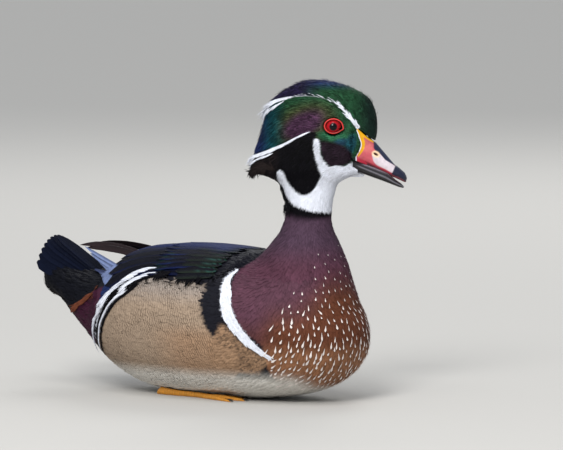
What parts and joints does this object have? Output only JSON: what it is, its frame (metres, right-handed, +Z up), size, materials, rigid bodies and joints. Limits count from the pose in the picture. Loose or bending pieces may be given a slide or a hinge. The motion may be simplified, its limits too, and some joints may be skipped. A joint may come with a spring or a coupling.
{
  "type": "wood duck",
  "caption": "Drake wood duck, life size, in the posture of a swimming bird, resting on its belly with its head turned aside.",
  "frame": {"origin": "on the floor under the middle of the bird's bounding box", "axes": "+X towards the breast, +Y towards the bird's left, +Z up"},
  "size_m": [0.3104, 0.1322, 0.2392],
  "materials": {
    "head_feathers": "glossy green and black plumage with white lines",
    "neck_feathers": "soft purple-brown plumage",
    "breast_feathers": "chestnut plumage with white flecks",
    "body_feathers": "buff plumage with fine dark lines",
    "rump_feathers": "soft dark plumage",
    "wing_feathers": "blue-black glossy vanes",
    "wingtip_feathers": "slate vanes with silvery edges",
    "tail_feathers": "black glossy vanes",
    "bill_upper": "satin horn in red, white, yellow and black",
    "bill_lower": "satin black horn",
    "eye": "wet red eye with a black pupil",
    "eyelid": "soft orange-red skin",
    "leg_skin": "scaly dull yellow skin with dusky webs"
  },
  "bodies": {
    "root": {"head": "head_feathers", "crest": "head_feathers", "neck": "neck_feathers", "breast": "breast_feathers", "trunk": "body_feathers", "rump": "rump_feathers", "tail": "tail_feathers", "wing_left": "wing_feathers", "wing_right": "wing_feathers", "wingtip_left": "wingtip_feathers", "wingtip_right": "wingtip_feathers", "bill_upper": "bill_upper", "bill_lower": "bill_lower", "eye_left": "eye", "eye_right": "eye", "eyelid_left": "eyelid", "eyelid_right": "eyelid", "leg_left": "leg_skin", "leg_right": "leg_skin", "foot_left": "leg_skin", "foot_right": "leg_skin"}
  },
  "joints": []
}
